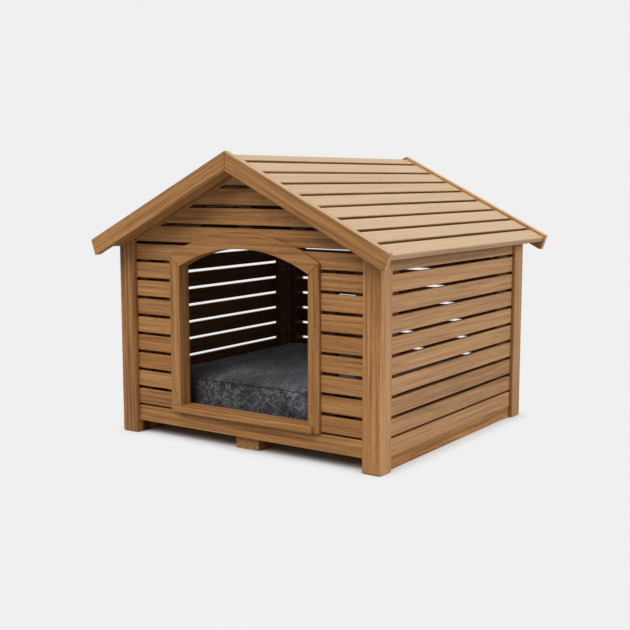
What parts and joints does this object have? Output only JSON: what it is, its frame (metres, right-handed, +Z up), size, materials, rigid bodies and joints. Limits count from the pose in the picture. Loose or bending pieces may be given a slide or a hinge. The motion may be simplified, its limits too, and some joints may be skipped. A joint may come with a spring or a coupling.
{
  "type": "dog house",
  "caption": "Slatted wooden dog house with an arched doorway, a gable roof of lengthwise slats, overhanging eaves and a loose floor cushion.",
  "frame": {"origin": "floor level, under the middle of the roof's outline", "axes": "+Z up, doorway facing -Y, ridge along Y, +X to the right of someone who looks in at the doorway"},
  "size_m": [0.846, 0.826, 0.6894],
  "materials": {
    "wood": "oiled hardwood, satin",
    "roof_wood": "oiled hardwood, satin, sun-bleached",
    "cushion": "short grey plush"
  },
  "bodies": {
    "house": {"barge_board_front_left": "wood", "barge_board_front_right": "wood", "barge_board_rear_left": "wood", "barge_board_rear_right": "wood", "door_arch_head": "wood", "door_jamb_left": "wood", "door_jamb_right": "wood", "door_sill": "wood", "floor_bearer_centre": "wood", "floor_bearer_left": "wood", "floor_bearer_right": "wood", "floor_board_1": "wood", "floor_board_2": "wood", "floor_board_3": "wood", "floor_board_4": "wood", "floor_board_5": "wood", "floor_board_6": "wood", "floor_board_7": "wood", "front_bottom_rail": "wood", "front_gable": "wood", "front_wall_left": "wood", "front_wall_right": "wood", "post_front_left": "wood", "post_front_right": "wood", "post_rear_left": "wood", "post_rear_right": "wood", "rafter_front_left": "wood", "rafter_front_right": "wood", "rafter_rear_left": "wood", "rafter_rear_right": "wood", "rear_bottom_rail": "wood", "rear_wall": "wood", "ridge_beam": "wood", "ridge_slat_left": "roof_wood", "ridge_slat_right": "roof_wood", "roof_slat_left_1": "roof_wood", "roof_slat_left_2": "roof_wood", "roof_slat_left_3": "roof_wood", "roof_slat_left_4": "roof_wood", "roof_slat_left_5": "roof_wood", "roof_slat_left_6": "roof_wood", "roof_slat_left_7": "roof_wood", "roof_slat_left_8": "roof_wood", "roof_slat_right_1": "roof_wood", "roof_slat_right_2": "roof_wood", "roof_slat_right_3": "roof_wood", "roof_slat_right_4": "roof_wood", "roof_slat_right_5": "roof_wood", "roof_slat_right_6": "roof_wood", "roof_slat_right_7": "roof_wood", "roof_slat_right_8": "roof_wood", "side_wall_left": "wood", "side_wall_right": "wood", "verge_rafter_left": "wood", "verge_rafter_right": "wood", "wall_plate_left": "wood", "wall_plate_right": "wood"},
    "cushion": {"cushion": "cushion"}
  },
  "joints": [
    {"name": "cushion_lift", "type": "slide", "parent": "house", "child": "cushion", "axis": [0, 0, 1], "range_m": [0, 0.15]}
  ]
}
